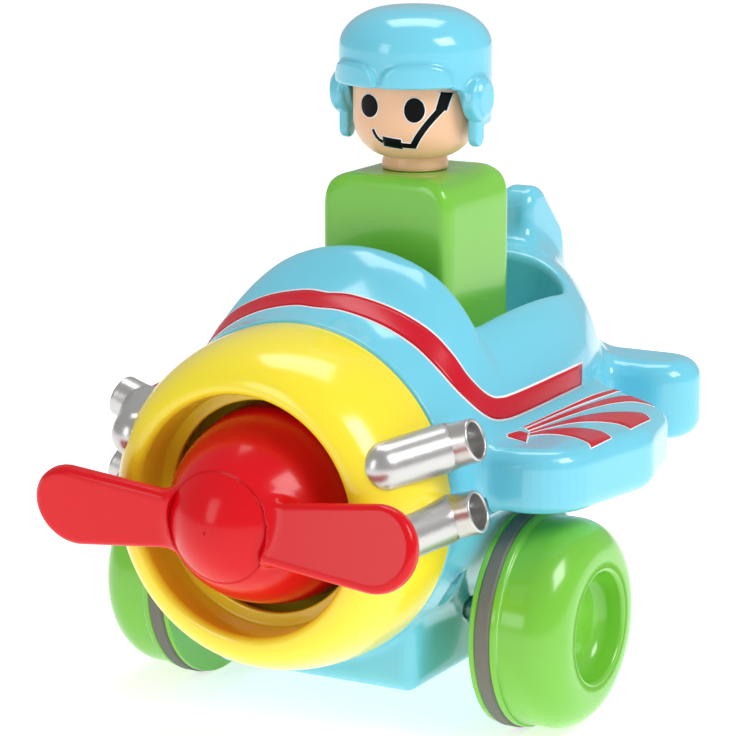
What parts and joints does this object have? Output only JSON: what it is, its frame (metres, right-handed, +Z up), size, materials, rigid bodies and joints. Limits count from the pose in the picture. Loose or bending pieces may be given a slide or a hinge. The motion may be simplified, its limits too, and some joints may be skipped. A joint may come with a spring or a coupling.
{
  "type": "toy airplane",
  "caption": "Chunky press-and-go toy airplane with a pilot who pushes down, geared propeller, fat front wheels, exhaust stubs and a small tail wheel.",
  "frame": {"origin": "on the ground under the middle of the toy, halfway along its length and on its centre plane", "axes": "+Z up, nose towards -Y, the pilot's left towards +X"},
  "size_m": [0.141, 0.188, 0.176],
  "materials": {
    "sky_plastic": "gloss",
    "yellow_plastic": "gloss",
    "red_plastic": "gloss",
    "green_plastic": "gloss",
    "skin_plastic": "satin gloss",
    "silver_paint": "satin silver paint on plastic",
    "grey_rubber": "matt",
    "nylon": "matt",
    "orange_acetal": "satin",
    "dark_acetal": "satin",
    "steel": "bright"
  },
  "bodies": {
    "airframe": {"upper_shell": "sky_plastic", "lower_shell": "sky_plastic", "cowl": "yellow_plastic", "engine_bulkhead": "yellow_plastic", "prop_bush": "nylon", "exhaust_left_upper": "silver_paint", "exhaust_left_lower": "silver_paint", "exhaust_right_upper": "silver_paint", "exhaust_right_lower": "silver_paint", "gearbox_plate_left": "nylon", "gearbox_plate_right": "nylon", "gearbox_spacers": "steel", "drive_gear_pin": "steel", "idler_pin": "steel", "swing_arm": "nylon", "axle_bushes": "nylon", "gearbox_screws": "steel", "shell_screws": "steel", "cowl_screws": "steel", "tail_wheel_pin": "steel"},
    "pilot": {"pilot_body": "green_plastic", "pilot_head": "skin_plastic", "pilot_helmet": "sky_plastic", "plunger": "nylon", "plunger_screws": "steel", "return_spring": "steel"},
    "drive_gear": {"drive_gear": "orange_acetal"},
    "swing_pinion": {"swing_pinion": "orange_acetal"},
    "front_axle": {"axle": "steel", "axle_gear": "dark_acetal", "axle_prop_gear": "dark_acetal", "wheel_left": "green_plastic", "wheel_right": "green_plastic", "traction_band_left": "grey_rubber", "traction_band_right": "grey_rubber"},
    "prop_idler": {"prop_idler": "orange_acetal"},
    "cross_shaft": {"cross_shaft": "dark_acetal"},
    "propeller": {"propeller": "red_plastic", "spinner_cap": "red_plastic", "spinner_screw": "steel", "prop_shaft": "steel", "crown_gear": "dark_acetal"},
    "tail_wheel": {"tail_wheel": "green_plastic"}
  },
  "joints": [
    {"name": "pilot_push", "type": "slide", "parent": "airframe", "child": "pilot", "axis": [0, 0, 1], "range_m": [-0.023, 0], "stiffness_N_per_m": 250, "springref_m": 0.01, "deforming": ["return_spring"]},
    {"name": "drive_gear_spin", "type": "hinge", "parent": "airframe", "child": "drive_gear", "pos_m": [0, -0.017, 0.0445], "axis": [1, 0, 0], "range_deg": [-330, 0]},
    {"name": "axle_spin", "type": "hinge", "parent": "airframe", "child": "front_axle", "pos_m": [0, -0.0165, 0.0275], "axis": [1, 0, 0], "continuous": true},
    {"name": "swing_pinion_spin", "type": "hinge", "parent": "airframe", "child": "swing_pinion", "pos_m": [0, -0.0243, 0.0257], "axis": [1, 0, 0], "continuous": true},
    {"name": "prop_idler_spin", "type": "hinge", "parent": "airframe", "child": "prop_idler", "pos_m": [0, -0.0298, 0.04134], "axis": [1, 0, 0], "continuous": true},
    {"name": "cross_shaft_spin", "type": "hinge", "parent": "airframe", "child": "cross_shaft", "pos_m": [0, -0.036, 0.0612], "axis": [1, 0, 0], "continuous": true},
    {"name": "propeller_spin", "type": "hinge", "parent": "airframe", "child": "propeller", "pos_m": [0, -0.0505, 0.0612], "axis": [0, 1, 0], "continuous": true},
    {"name": "tail_wheel_spin", "type": "hinge", "parent": "airframe", "child": "tail_wheel", "pos_m": [0, 0.044, 0.0095], "axis": [1, 0, 0], "continuous": true}
  ],
  "couplings": [
    {"joint": "drive_gear_spin", "follows": "pilot_push", "rad_per_m": 250},
    {"joint": "swing_pinion_spin", "follows": "axle_spin", "ratio": -1},
    {"joint": "prop_idler_spin", "follows": "axle_spin", "ratio": -0.33333},
    {"joint": "cross_shaft_spin", "follows": "axle_spin", "ratio": 0.75},
    {"joint": "propeller_spin", "follows": "axle_spin", "ratio": 0.5625}
  ]
}
